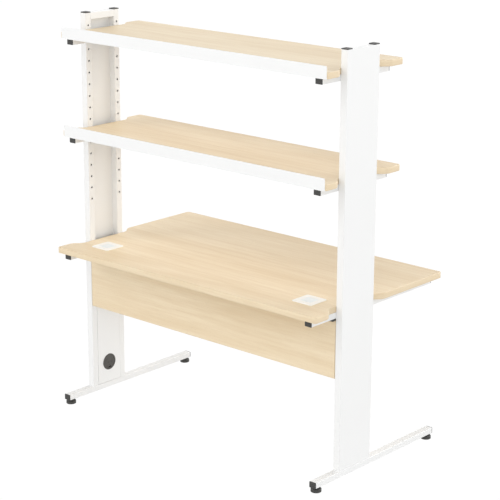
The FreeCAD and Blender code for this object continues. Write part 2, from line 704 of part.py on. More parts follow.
# ================================================================ cable ports
for tag, s in SIDES:
    cx = D.port_x if s > 0 else -D.port_x
    name = tag + "_port_frame"
    b = new_body(name)
    sk = sketch_on(b, name + "_flange", "XY_Plane", D.desk_top)
    q = D.port_flange / 2
    rect(sk, -q, q, -q, q)
    pad(b, sk, D.port_proud)
    top = num(D.desk_top + D.port_proud)
    round_edges(b, 8, lambda e: abs(ends(e)[0].z - ends(e)[1].z) > 1, name + "_corners")
    round_edges(b, 1.6, lambda e: all(abs(v.Point.z - top) < 0.01 for v in e.Vertexes), name + "_crown")
    q = D.port_throat / 2
    sk = sketch_on(b, name + "_throat", "XY_Plane", D.desk_top - D.port_deep)
    rect(sk, -q, q, -q, q)
    pad(b, sk, D.port_deep + 1)
    sk = sketch_on(b, name + "_hollow", "XY_Plane", D.desk_top - D.port_deep)
    q = D.port_throat / 2 - 2
    rect(sk, -q, q, -q, q)
    pocket(b, sk, D.port_ledge_z - 2.4 - D.desk_top + D.port_deep, back=True)
    sk = sketch_on(b, name + "_seat", "XY_Plane", D.port_ledge_z)
    q = D.port_seat / 2
    rect(sk, -q, q, -q, q)
    pocket(b, sk, 10, back=True)
    sk = sketch_on(b, name + "_way", "XY_Plane", D.port_ledge_z - 6)
    wq = D.port_way / 2
    outline(sk, [(-q, -q), (q, -q), (q, -q + 7), (wq, -q + 7), (wq, wq), (-wq, wq), (-wq, -q + 7), (-q, -q + 7)])
    pocket(b, sk, 10, back=True)
    sk = sketch_on(b, name + "_pinholes", "YZ_Plane", -(q + 4))
    pin_z = D.port_ledge_z + 0.3 + D.lid_thk / 2
    disc(sk, -D.lid_pivot, pin_z, D.lid_pin_rad + 0.06)
    pocket(b, sk, D.port_seat + 8, back=True)
    place(b, cx, D.port_y, 0)
    node(b, name)

    name = tag + "_port_lid"
    lid = new_body(name)
    q = D.lid_size / 2
    sk = sketch_on(lid, name + "_plate", "XY_Plane", D.port_ledge_z + 0.3)
    rect(sk, -q, q, -D.lid_pivot - 2, q)
    pad(lid, sk, D.lid_thk)
    round_edges(lid, 0.8, lambda e: all(abs(v.Point.z - num(D.port_ledge_z + 0.3 + D.lid_thk)) < 0.01 for v in e.Vertexes),
                name + "_crown")
    # cable notch in the free edge
    sk = sketch_on(lid, name + "_notch", "XY_Plane", 0)
    rect(sk, -9, 9, q - 5, q + 5)
    pocket(lid, sk, None, both=True)
    sk = sketch_on(lid, name + "_pins", "YZ_Plane", -(q + 3.4))
    disc(sk, -D.lid_pivot, pin_z, D.lid_pin_rad)
    pad(lid, sk, D.lid_size + 6.8)
    place(lid, cx, D.port_y, 0)
    node(lid, name)

# ================================================================ shelves
for tag, z in (("upper", D.upper_top), ("lower", D.lower_top)):
    under = z - D.board_thk
    az = under - D.rail_ht
    board = waisted_board(tag + "_shelf_board", D.desk_len / 2, D.shelf_front, D.shelf_back, D.sw_front, D.sw_back,
                          D.sw_rad, D.shelf_corner, under)
    spots = [(D.shelf_arm_x * s, y) for s in (-1, 1) for y in (0, 310)]
    blind_holes(board, tag + "_shelf_pilots", spots, D.wood_rad, D.wood_bite)
    lip_spots = [(x, D.shelf_back - D.lip_leg / 2) for x in (-560, -280, 0, 280, 560)]
    blind_holes(board, tag + "_lip_pilots", lip_spots, D.small_rad, D.small_bite - D.lip_leg_thk)
    node(board, tag + "_shelf_board")

    name = tag + "_shelf_lip"
    lip = new_body(name)
    sk = sketch_on(lip, name + "_face", "XZ_Plane")
    rect(sk, -D.lip_half, D.lip_half, -D.lip_leg_thk, D.board_thk + D.lip_up)
    pad(lip, sk, D.lip_thk, back=True)
    hi = num(D.board_thk + D.lip_up)
    lo = -num(D.lip_leg_thk)
    round_edges(lip, D.lip_corner, lambda e: abs(ends(e)[0].y - ends(e)[1].y) > 0.1 and abs(ends(e)[0].z - hi) < 0.01,
                name + "_corners")
    round_edges(lip, 0.9, lambda e: abs(ends(e)[0].y - ends(e)[1].y) < 0.01 and min(v.Point.z for v in e.Vertexes) > lo + 1,
                name + "_hem")
    sk = sketch_on(lip, name + "_leg", "XZ_Plane")
    rect(sk, -D.lip_leg_half, D.lip_leg_half, -D.lip_leg_thk, 0)
    pad(lip, sk, D.lip_leg)
    sk = sketch_on(lip, name + "_legholes", "XY_Plane", -D.lip_leg_thk - 1)
    for x, y in lip_spots:
        disc(sk, x, y - D.shelf_back, D.small_rad + 0.2)
    pocket(lip, sk, D.lip_leg_thk + 2, back=True)
    place(lip, 0, D.shelf_back, under)
    node(lip, name)

    caps, cleats, arm_bolts, clamp = [], [], [], []
    mid = (D.col_front + D.col_back) / 2
    bolt_y = (mid - 36, mid + 36)
    for side, s in SIDES:
        ax = D.shelf_arm_x if s > 0 else -D.shelf_arm_x
        rail("%s_shelf_%s_arm" % (tag, side), ax, az, D.shelf_arm_y0, D.shelf_arm_y1,
             cross=tuple((y, D.bolt_rad + 0.25) for y in bolt_y), drop=(0, 310), drop_rad=D.wood_rad + 0.3)
        caps.append(rail_cap("%s_%s_arm_cap_back" % (tag, side), ax, az, D.shelf_arm_y1, 1))
        caps.append(rail_cap("%s_%s_arm_cap_front" % (tag, side), ax, az, D.shelf_arm_y0, -1))
        # U-shaped cleat in the channel between the uprights; local x runs outwards
        name = "%s_%s_cleat" % (tag, side)
        c = new_body(name)
        sk = sketch_on(c, name + "_section", "XY_Plane")
        h, t, dp = D.cleat_w / 2, D.cleat_thk, D.cleat_depth
        outline(sk, [(0, -h), (dp, -h), (dp, -h + t), (t, -h + t), (t, h - t), (dp, h - t), (dp, h), (0, h)])
        pad(c, sk, D.cleat_ht)
        sk = sketch_on(c, name + "_boltholes", "YZ_Plane")
        for d in (-36, 36):
            disc(sk, d, D.cleat_ht / 2, D.bolt_rad + 0.1)
        pocket(c, sk, D.cleat_thk + 1, back=True)
        sk = sketch_on(c, name + "_clampholes", "XZ_Plane")
        disc(sk, D.cleat_depth / 2 + 2, D.cleat_ht / 2, D.bolt_rad + 0.1)
        pocket(c, sk, None, both=True)
        cx = D.shelf_arm_x + D.rail_w / 2
        place(c, cx if s > 0 else -cx, mid, az + D.rail_ht / 2 - D.cleat_ht / 2, None if s > 0 else TURN)
        cleats.append(c)
        hx = D.shelf_arm_x - D.rail_w / 2
        for i, y in enumerate(bolt_y):
            arm_bolts.append(bolt("%s_%s_shelf_bolt_%d" % (tag, side, i), hx if s > 0 else -hx, y, az + D.rail_ht / 2,
                                  "+X" if s > 0 else "-X", D.rail_w + D.cleat_thk + 2))
        gx = cx + D.cleat_depth / 2 + 2
        for i, (y, way) in enumerate(((mid + D.cleat_w / 2 + 0.6, "-Y"), (mid - D.cleat_w / 2 - 0.6, "+Y"))):
            body_rod = rod("%s_%s_grub_%d" % (tag, side, i), D.bolt_rad, 12, gx if s > 0 else -gx, y, az + D.rail_ht / 2, way)
            key = hexrod("%s_%s_key_%d" % (tag, side, i), 2.3, 5, *step(gx if s > 0 else -gx, y, az + D.rail_ht / 2, way, 7.5), way)
            clamp.append(cut("%s_%s_clamp_%d" % (tag, side, i), body_rod, key))
    node(group(tag + "_shelf_arm_caps_group", caps), tag + "_shelf_arm_caps")
    node(group(tag + "_shelf_cleats_group", cleats), tag + "_shelf_cleats")
    node(group(tag + "_shelf_arm_bolts_group", arm_bolts), tag + "_shelf_arm_bolts")
    node(group(tag + "_shelf_clamp_screws_group", clamp), tag + "_shelf_clamp_screws")
    node(group(tag + "_shelf_screws_group", [
        screw("%s_shelf_screw_%d" % (tag, i), x, y, az, "+Z", D.wood_rad, D.rail_ht + D.wood_bite, D.wood_head_rad + 1, D.wood_head_ht)
        for i, (x, y) in enumerate(spots)]), tag + "_shelf_screws")
    node(group(tag + "_lip_screws_group", [
        screw("%s_lip_screw_%d" % (tag, i), x, y, under - D.lip_leg_thk, "+Z", D.small_rad, D.small_bite, D.small_head_rad, D.small_head_ht)
        for i, (x, y) in enumerate(lip_spots)]), tag + "_lip_screws")

# ================================================================ checks and files
doc.recompute()
bad = []
for obj in doc.Objects:
    if "Invalid" in obj.State or "Error" in obj.State:
        bad.append("%s: %s" % (obj.Name, obj.State))
for obj, name in NODES:
    shape = obj.Shape
    if shape.isNull() or not shape.isValid() or not shape.Solids:
        bad.append("%s: shape" % name)
if bad:
    raise RuntimeError("; ".join(bad))
names = [name for _, name in NODES]
if len(set(names)) != len(names) or len(names) > 60:
    raise RuntimeError("node names: %d" % len(names))

os.makedirs("parts", exist_ok=True)
for obj, name in NODES:
    obj.Shape.exportStep("parts/%s.step" % name)
    box = obj.Shape.BoundBox
    print("%-28s solids %2d  x %8.1f %8.1f  y %8.1f %8.1f  z %8.1f %8.1f  vol %.0f" % (
        name, len(obj.Shape.Solids), box.XMin, box.XMax, box.YMin, box.YMax, box.ZMin, box.ZMax, obj.Shape.Volume))
print(len(NODES), "nodes")
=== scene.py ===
import bpy, bmesh, json, math
from mathutils import Matrix, Vector


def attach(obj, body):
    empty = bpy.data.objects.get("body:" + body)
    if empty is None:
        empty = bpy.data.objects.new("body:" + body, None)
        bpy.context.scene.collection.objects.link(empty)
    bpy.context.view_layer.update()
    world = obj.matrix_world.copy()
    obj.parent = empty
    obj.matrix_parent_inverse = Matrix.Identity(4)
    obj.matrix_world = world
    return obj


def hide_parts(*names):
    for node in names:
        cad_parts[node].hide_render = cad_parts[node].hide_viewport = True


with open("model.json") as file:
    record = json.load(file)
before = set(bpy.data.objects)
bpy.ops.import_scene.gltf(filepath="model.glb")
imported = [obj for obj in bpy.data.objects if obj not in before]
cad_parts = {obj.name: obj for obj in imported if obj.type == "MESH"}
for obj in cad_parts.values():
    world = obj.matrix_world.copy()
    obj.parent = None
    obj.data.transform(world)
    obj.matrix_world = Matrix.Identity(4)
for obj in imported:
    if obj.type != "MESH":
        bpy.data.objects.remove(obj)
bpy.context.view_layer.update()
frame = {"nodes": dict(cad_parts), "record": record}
nodes = frame["nodes"]
scene = bpy.context.scene

# ------------------------------------------------------------------ materials


def new_material(name):
    m = bpy.data.materials.new(name)
    m.use_nodes = True
    nt = m.node_tree
    nt.nodes.clear()
    out = nt.nodes.new("ShaderNodeOutputMaterial")
    bsdf = nt.nodes.new("ShaderNodeBsdfPrincipled")
    nt.links.new(bsdf.outputs["BSDF"], out.inputs["Surface"])
    return m, nt, bsdf


def add(nt, kind, **inputs):
    n = nt.nodes.new(kind)
    for key, value in inputs.items():
        if key in n.inputs:
            n.inputs[key].default_value = value
        else:
            setattr(n, key, value)
    return n


def noise(nt, vector, scale, detail=2.0, rough=0.5, distort=0.0):
    n = add(nt, "ShaderNodeTexNoise")
    n.inputs["Scale"].default_value = scale
    n.inputs["Detail"].default_value = detail
    n.inputs["Roughness"].default_value = rough
    n.inputs["Distortion"].default_value = distort
    nt.links.new(vector, n.inputs["Vector"])
    return n.outputs["Fac"]


def stretched(nt, vector, scale, shift=(0, 0, 0)):
    n = add(nt, "ShaderNodeMapping")
    n.inputs["Scale"].default_value = scale
    n.inputs["Location"].default_value = shift
    nt.links.new(vector, n.inputs["Vector"])
    return n.outputs["Vector"]


def ramp(nt, fac, stops):
    n = add(nt, "ShaderNodeValToRGB")
    while len(n.color_ramp.elements) < len(stops):
        n.color_ramp.elements.new(0.5)
    for e, (pos, col) in zip(n.color_ramp.elements, stops):
        e.position = pos
        e.color = (col[0], col[1], col[2], 1) if hasattr(col, "__len__") else (col, col, col, 1)
    nt.links.new(fac, n.inputs["Fac"])
    return n.outputs["Color"]


def mixed(nt, fac, a, b, kind="MIX"):
    n = add(nt, "ShaderNodeMix")
    n.data_type = "RGBA"
    n.blend_type = kind
    n.clamp_factor = True
    for sock, v in ((n.inputs[0], fac), (n.inputs[6], a), (n.inputs[7], b)):
        if hasattr(v, "is_linked"):
            nt.links.new(v, sock)
        elif hasattr(v, "__len__"):
            sock.default_value = (v[0], v[1], v[2], 1)
        else:
            sock.default_value = v
    return n.outputs[2]


def math_node(nt, op, a, b=None):
    n = add(nt, "ShaderNodeMath")
    n.operation = op
    for sock, v in zip(n.inputs, (a, b)):
        if v is None:
            continue
        if hasattr(v, "is_linked"):
            nt.links.new(v, sock)
        else:
            sock.default_value = v
    return n.outputs[0]


def span(nt, fac, lo, hi):
    n = add(nt, "ShaderNodeMapRange")
    n.inputs["To Min"].default_value = lo
    n.inputs["To Max"].default_value = hi
    nt.links.new(fac, n.inputs["Value"])
    return n.outputs["Result"]


def bump(nt, bsdf, height, strength, distance):
    n = add(nt, "ShaderNodeBump")
    n.inputs["Strength"].default_value = strength
    n.inputs["Distance"].default_value = distance
    nt.links.new(height, n.inputs["Height"])
    nt.links.new(n.outputs["Normal"], bsdf.inputs["Normal"])


def object_coords(nt):
    return add(nt, "ShaderNodeTexCoord").outputs["Object"]


def attribute(nt, name):
    n = add(nt, "ShaderNodeAttribute")
    n.attribute_name = name
    return n.outputs["Vector"]


MAPLE_LIGHT = (0.835, 0.709, 0.512)
MAPLE_MID = (0.775, 0.635, 0.434)
MAPLE_DARK = (0.665, 0.496, 0.297)


def maple(name, coords, shift, tone=1.0):
    """Pale maple laminate: broad soft figure, streaks along local x, fine grain lines and short pores."""
    m, nt, b = new_material(name)
    p = attribute(nt, "run") if coords == "run" else object_coords(nt)
    figure = noise(nt, stretched(nt, p, (0.75, 7.0, 7.0), shift), 1.0, 3.0, 0.55, 1.1)
    band = noise(nt, stretched(nt, p, (1.15, 25.0, 25.0), shift), 1.0, 3.0, 0.55, 0.6)
    streak = noise(nt, stretched(nt, p, (3.4, 66.0, 66.0), shift), 1.0, 4.0, 0.62, 0.35)
    line = noise(nt, stretched(nt, p, (9.0, 240.0, 240.0), shift), 1.0, 3.0, 0.6, 0.15)
    pore = noise(nt, stretched(nt, p, (55.0, 1500.0, 1500.0), shift), 1.0, 1.0, 0.5, 0.0)
    # tone scales every colour of the board; on the shelves and the modesty panel it is painted shade
    tint = lambda c: tuple(v * tone for v in c)
    base = ramp(nt, figure, [(0.34, tint(MAPLE_MID)), (0.62, tint(MAPLE_LIGHT))])
    bands = ramp(nt, band, [(0.44, 0.0), (0.70, 1.0)])
    base = mixed(nt, math_node(nt, "MULTIPLY", bands, 0.33), base, tint(MAPLE_DARK))
    streaks = ramp(nt, streak, [(0.42, 0.0), (0.70, 1.0)])
    base = mixed(nt, math_node(nt, "MULTIPLY", streaks, 0.31), base, tint(MAPLE_DARK))
    lines = ramp(nt, line, [(0.46, 0.0), (0.80, 1.0)])
    base = mixed(nt, math_node(nt, "MULTIPLY", lines, 0.24), base, tint(MAPLE_DARK))
    pores = ramp(nt, pore, [(0.66, 0.0), (0.76, 1.0)])
    base = mixed(nt, math_node(nt, "MULTIPLY", pores, 0.30), base, tuple(v * 0.55 for v in tint(MAPLE_DARK)))
    nt.links.new(base, b.inputs["Base Color"])
    rough = math_node(nt, "ADD", span(nt, streak, 0.40, 0.50), math_node(nt, "MULTIPLY", pores, 0.12))
    nt.links.new(rough, b.inputs["Roughness"])
    b.inputs["IOR"].default_value = 1.48
    height = math_node(nt, "SUBTRACT", math_node(nt, "MULTIPLY", line, 0.35), pores)
    bump(nt, b, height, 0.10, 0.00025)
    return m


def powder_coat(name, colour, rough=0.40):
    """Powder-coated steel: fine orange peel, faint drift in tone and gloss."""
    m, nt, b = new_material(name)
    p = object_coords(nt)
    drift = noise(nt, p, 3.0, 2.0, 0.5)
    peel = noise(nt, p, 900.0, 2.0, 0.55)
    fine = noise(nt, p, 3200.0, 1.0, 0.5)
    base = mixed(nt, drift, tuple(c * 0.985 for c in colour), tuple(min(1.0, c * 1.012) for c in colour))
    speck = ramp(nt, fine, [(0.70, 0.0), (0.80, 1.0)])
    base = mixed(nt, math_node(nt, "MULTIPLY", speck, 0.06), base, tuple(c * 0.75 for c in colour))
    nt.links.new(base, b.inputs["Base Color"])
    nt.links.new(span(nt, peel, rough - 0.06, rough + 0.06), b.inputs["Roughness"])
    b.inputs["IOR"].default_value = 1.5
    bump(nt, b, math_node(nt, "ADD", peel, math_node(nt, "MULTIPLY", fine, 0.4)), 0.045, 0.00012)
    return m


def moulded(name, colour, rough, grain=1800.0, depth=0.22, drift_amount=0.12):
    """Injection-moulded plastic with a fine spark-eroded texture."""
    m, nt, b = new_material(name)
    p = object_coords(nt)
    drift = noise(nt, p, 35.0, 3.0, 0.55)
    cells = noise(nt, p, grain, 2.0, 0.6)
    base = mixed(nt, drift, tuple(c * (1 - drift_amount) for c in colour), tuple(min(1.0, c * (1 + drift_amount)) for c in colour))
    nt.links.new(base, b.inputs["Base Color"])
    nt.links.new(span(nt, cells, rough - 0.08, rough + 0.08), b.inputs["Roughness"])
    b.inputs["IOR"].default_value = 1.5
    bump(nt, b, cells, depth, 0.00015)
    return m


def zinc(name):
    """Bright zinc plate with a soft brushed variation."""
    m, nt, b = new_material(name)
    p = object_coords(nt)
    cloud = noise(nt, p, 160.0, 3.0, 0.6)
    fine = noise(nt, p, 2400.0, 2.0, 0.5)
    base = mixed(nt, cloud, (0.50, 0.51, 0.53), (0.68, 0.68, 0.68))
    nt.links.new(base, b.inputs["Base Color"])
    b.inputs["Metallic"].default_value = 1.0
    nt.links.new(span(nt, cloud, 0.24, 0.42), b.inputs["Roughness"])
    bump(nt, b, fine, 0.12, 0.0001)
    return m


WHITE_STEEL = powder_coat("white_powder_coat", (0.824, 0.827, 0.823))
BLACK = moulded("black_moulded", (0.042, 0.0415, 0.039), 0.50)
GROMMET = moulded("grommet_moulded", (0.074, 0.070, 0.064), 0.55, grain=1300.0, depth=0.35, drift_amount=0.3)
PORT_WHITE = moulded("port_white", (0.865, 0.855, 0.820), 0.42, depth=0.08, drift_amount=0.015)
PORT_LID = moulded("port_lid", (0.770, 0.808, 0.818), 0.40, depth=0.08, drift_amount=0.02)
ZINC = zinc("zinc_plate")
MAPLE_BOARD = maple("maple_laminate", "object", (0.0, 0.0, 0.0))
# painted shade: the upper shelf's maple is made darker (tone 0.925) to offset the extra light it gets with nothing
# above it, and the lower shelf's is slightly darker (0.985); lit and shaded copies of the one laminate
MAPLE_UPPER_PAINTED_SHADE = maple("maple_upper_shelf_painted_shade", "object", (0.0, 0.0, 0.0), tone=0.925)
MAPLE_LOWER_PAINTED_SHADE = maple("maple_lower_shelf_painted_shade", "object", (0.0, 0.0, 0.0), tone=0.985)
# painted shade: the modesty panel's maple is made slightly darker (tone 0.985) for the dimmer light it sits in under
# the desktop
MAPLE_PANEL_PAINTED_SHADE = maple("maple_panel_painted_shade", "object", (0.0, 0.0, 0.0), tone=0.985)
MAPLE_EDGE = maple("maple_edging", "run", (3.7, 1.3, 0.4), tone=0.963)

SLOT_MATERIAL = {"white_steel": WHITE_STEEL, "black_plastic": BLACK, "grommet_plastic": GROMMET,
                 "white_plastic": PORT_WHITE, "lid_plastic": PORT_LID, "zinc_steel": ZINC, "maple_board": MAPLE_BOARD}
for sub in frame["record"]["subparts"]:
    o = nodes[sub["node"]]
    o.data.materials.clear()
    o.data.materials.append(SLOT_MATERIAL[sub["material_slot"]])


# ------------------------------------------------------------------ mesh helpers


def new_object(name, bm, material, body, smooth_angle=None):
    me = bpy.data.meshes.new(name)
    bm.to_mesh(me)
    bm.free()
    me.materials.append(material)
    o = bpy.data.objects.new(name, me)
    scene.collection.objects.link(o)
    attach(o, body)
    return o


def rounded(points, radii, seg):
    """Closed outline with each corner turned on its radius, as (x, y) points."""
    out = []
    n = len(points)
    for i in range(n):
        p0, p1, p2 = (Vector(points[(i + k) % n]) for k in (-1, 0, 1))
        r = radii[i]
        a, b = (p0 - p1).normalized(), (p2 - p1).normalized()
        half = a.angle(b) / 2
        t = r / math.tan(half)
        s, e = p1 + a * t, p1 + b * t
        c = p1 + (a + b).normalized() * (r / math.sin(half))
        a0 = math.atan2(s.y - c.y, s.x - c.x)
        a1 = math.atan2(e.y - c.y, e.x - c.x)
        d = (a1 - a0 + math.pi) % (2 * math.pi) - math.pi
        for k in range(seg + 1):
            ang = a0 + d * k / seg
            out.append(Vector((c.x + r * math.cos(ang), c.y + r * math.sin(ang))))
    return out


def inward(loop):
    """Unit-offset vectors that shrink a counter-clockwise loop evenly."""
    n = len(loop)
    out = []
    for i in range(n):
        e0 = (loop[i] - loop[i - 1]).normalized()
        e1 = (loop[(i + 1) % n] - loop[i]).normalized()
        n0, n1 = Vector((-e0.y, e0.x)), Vector((-e1.y, e1.x))
        m = (n0 + n1).normalized()
        out.append(m / max(0.3, m.dot(n0)))
    return out


EDGING = 0.0022
SEAM = 0.00012


def board(name, node, body, loop, thick, rim, put, face=MAPLE_BOARD, holes=()):
    """Laminated board and its glued edging. put() turns (x, y, height) into the row frame."""
    ins = inward(loop)
    core_loop = [p + v * (EDGING + SEAM) for p, v in zip(loop, ins)]
    bm = bmesh.new()
    layers = []
    for h in (0.0, thick):
        rings = []
        for ring in [core_loop] + [list(map(Vector, r)) for r in holes]:
            rings.append([bm.verts.new(put(p.x, p.y, h)) for p in ring])
        edges = []
        for ring in rings:
            for i in range(len(ring)):
                edges.append(bm.edges.new((ring[i], ring[(i + 1) % len(ring)])))
        bmesh.ops.triangle_fill(bm, use_beauty=True, use_dissolve=False, edges=edges)
        layers.append(rings)
    for low, high in zip(*layers):
        n = len(low)
        for i in range(n):
            bm.faces.new((low[i], low[(i + 1) % n], high[(i + 1) % n], high[i]))
    bmesh.ops.recalc_face_normals(bm, faces=bm.faces)
    if bm.calc_volume(signed=True) < 0.0:
        bmesh.ops.reverse_faces(bm, faces=bm.faces)
    core = new_object(name + "_core", bm, face, body)
    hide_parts(node)

    section = [(EDGING, 0.0), (rim, 0.0)]
    for k in range(1, 7):
        a = math.pi / 2 * k / 6
        section.append((rim - rim * math.sin(a), rim - rim * math.cos(a)))
    section += [(d, thick - h) for d, h in reversed(section)]
    along = [0.0]
    for i in range(len(loop)):
        along.append(along[-1] + (loop[(i + 1) % len(loop)] - loop[i]).length)
    across = [0.0]
    for (d0, h0), (d1, h1) in zip(section, section[1:] + section[:1]):
        across.append(across[-1] + math.hypot(d1 - d0, h1 - h0))
    bm = bmesh.new()
    run = bm.loops.layers.float_vector.new("run")
    rings = [[bm.verts.new(put(*(p + v * d), h)) for d, h in section] for p, v in zip(loop, ins)]
    n, k = len(rings), len(section)
    for i in range(n):
        for j in range(k):
            a, b = rings[i], rings[(i + 1) % n]
            j1 = (j + 1) % k
            f = bm.faces.new((a[j], a[j1], b[j1], b[j]))
            us = (along[i], along[i], along[i + 1], along[i + 1])
            vs = (across[j], across[j + 1], across[j + 1], across[j])
            for lp, u, v in zip(f.loops, us, vs):
                lp[run] = (u, v, 0.0)
            f.smooth = j != k - 1
    bmesh.ops.recalc_face_normals(bm, faces=bm.faces)
    band = new_object(name + "_edging", bm, MAPLE_EDGE, body)
    return core, band


def waisted(half, y0, y1, w_front, w_back, w_rad, corner=0.012, back=0.012, waist=0.6825):
    run = half - waist
    pts = [(-half, y0), (half, y0), (half, w_front), (waist, w_front + run), (waist, w_back - run), (half, w_back),
           (half, y1), (-half, y1), (-half, w_back), (-waist, w_back - run), (-waist, w_front + run), (-half, w_front)]
    radii = [corner, corner, w_rad, w_rad, w_rad, w_rad, back, back, w_rad, w_rad, w_rad, w_rad]
    return rounded(pts, radii, 10)


def flat(z):
    return lambda x, y, h: Vector((x, y, z + h))


def square(cx, cy, q):
    return [(cx - q, cy - q), (cx - q, cy + q), (cx + q, cy + q), (cx + q, cy - q)]


# ------------------------------------------------------------------ boards
THICK = 0.025
board("desktop", "desktop", "frame", waisted(0.7165, -0.4065, 0.4065, -0.008, 0.3245, 0.046), THICK, 0.002, flat(0.6965),
      holes=[square(-0.562, 0.2565, 0.043), square(0.562, 0.2565, 0.043)])
# each shelf board takes its own painted-shade copy of the maple
for tag, top, face in (("upper", 1.6415, MAPLE_UPPER_PAINTED_SHADE), ("lower", 1.225, MAPLE_LOWER_PAINTED_SHADE)):
    board(tag + "_shelf_board", tag + "_shelf_board", tag + "_shelf",
          waisted(0.7165, -0.101, 0.3545, -0.020, 0.287, 0.040, back=0.004), THICK, 0.002, flat(top - THICK), face)
panel = rounded([(-0.682, 0.4255), (0.682, 0.4255), (0.682, 0.6685), (-0.682, 0.6685)], [0.0015] * 4, 4)
# the modesty panel is faced with its painted-shade copy of the maple
board("modesty_panel", "modesty_panel", "frame", panel, 0.018, 0.0015, lambda x, y, h: Vector((x, 0.243 - h, y)), MAPLE_PANEL_PAINTED_SHADE)


# ------------------------------------------------------------------ fasteners
def circle(r, z, n):
    return [Vector((r * math.cos(2 * math.pi * i / n), r * math.sin(2 * math.pi * i / n), z)) for i in range(n)]


def polar(fn, z, n):
    """Ring whose radius is a function of the angle; z may be a function of the radius."""
    out = []
    for i in range(n):
        a = 2 * math.pi * i / n
        r = fn(a)
        out.append(Vector((r * math.cos(a), r * math.sin(a), z(r) if callable(z) else z)))
    return out


def thread(crest, depth, pitch, z0, z1, n, per=6):
    """Rings of a single-start thread from z0 to z1; it fades out at both ends."""
    out = []
    steps = max(2, int(round(abs(z1 - z0) / pitch * per)))
    for k in range(steps + 1):
        z = z0 + (z1 - z0) * k / steps
        fade = min(1.0, abs(z - z0) / pitch, abs(z1 - z) / pitch)

        def radius(a):
            u = (z / pitch - a / (2 * math.pi)) % 1.0
            tri = abs(2.0 * u - 1.0)
            return crest - depth * fade * min(1.0, max(0.0, tri * 1.3 - 0.15))

        out.append(polar(radius, z, n))
    return out


def hexagon(corner):
    def radius(a):
        w = (a % (math.pi / 3)) - math.pi / 6
        return corner * math.cos(math.pi / 6) / math.cos(w)
    return radius


def plus(reach):
    """Outline of a cross recess: four arms as wide as tan 15 degrees of their reach to each side."""
    wide = reach * math.tan(math.radians(15))

    def radius(a):
        w = abs((a + math.pi / 4) % (math.pi / 2) - math.pi / 4)
        return reach / math.cos(w) if w <= math.radians(15.001) else wide / math.sin(w)
    return radius


def loft(bm, rings, matrix):
    """Closed solid through rings of equal count, with a fan at each end."""
    layers = [[bm.verts.new(matrix @ q) for q in ring] for ring in rings]
    n = len(layers[0])
    for a, b in zip(layers, layers[1:]):
        for i in range(n):
            f = bm.faces.new((a[i], a[(i + 1) % n], b[(i + 1) % n], b[i]))
            f.smooth = True
    for ring, first in ((layers[0], True), (layers[-1], False)):
        mid = bm.verts.new(sum((v.co for v in ring), Vector()) / n)
        for i in range(n):
            pair = (ring[(i + 1) % n], ring[i]) if first else (ring[i], ring[(i + 1) % n])
            bm.faces.new((*pair, mid))


def facing(at, way):
    return Matrix.Translation(at) @ Vector(way).to_track_quat("Z", "Y").to_matrix().to_4x4()


def finish_solids(bm):
    bmesh.ops.recalc_face_normals(bm, faces=bm.faces)
    for e in bm.edges:
        if len(e.link_faces) == 2 and e.calc_face_angle(0.0) > math.radians(32):
            e.smooth = False


def wood_screws(name, body, spots, r, length, bite, head, high):
    """Pan-headed screws with a cross recess; each spot is the head's underside and the shank's direction."""
    n = 48
    bm = bmesh.new()
    for at, way in spots:
        rings = [circle(r * 0.18, length, n), circle(r * 0.62, length - 2.6 * r * 0.5, n)]
        rings += thread(r, r * 0.26, 0.0022, length - 2.6 * r, length - bite, n, per=5)
        rings += [circle(r * 0.9, length - bite - 0.0006, n), circle(r * 0.9, 0.0, n), circle(head, 0.0, n),
                  circle(head, -0.28 * high, n), circle(head * 0.965, -0.52 * high, n), circle(head * 0.87, -0.76 * high, n),
                  circle(head * 0.72, -0.93 * high, n), circle(head * 0.58, -high, n),
                  polar(plus(head * 0.50), -high, n), polar(plus(head * 0.40), -high * 0.42, n)]
        loft(bm, rings, facing(at, way))
    finish_solids(bm)
    o = new_object(name + "_set", bm, ZINC, body)
    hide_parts(name)
    return o


def hex_bolts(name, body, spots, length):
    """M8 hex bolts with a turned top chamfer and a rolled thread."""
    n, r, corner, high = 48, 0.004, 0.0075, 0.0053
    flat_r = corner * math.cos(math.pi / 6)
    bm = bmesh.new()
    for at, way in spots:
        rings = [circle(r - 0.0009, length, n), circle(r - 0.0001, length - 0.0008, n)]
        rings += thread(r, 0.00062, 0.00125, length - 0.0009, length - 0.018, n, per=6)
        rings += [circle(r, length - 0.0186, n), circle(r, 0.0, n), polar(hexagon(corner), 0.0, n),
                  polar(hexagon(corner), lambda q: -high + 0.0009 * (q - flat_r * 0.93) / (corner - flat_r * 0.93), n),
                  circle(flat_r * 0.93, -high, n), circle(flat_r * 0.55, -high, n), circle(flat_r * 0.50, -high + 0.0004, n)]
        loft(bm, rings, facing(at, way))
    finish_solids(bm)
    o = new_object(name + "_set", bm, ZINC, body)
    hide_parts(name)
    return o


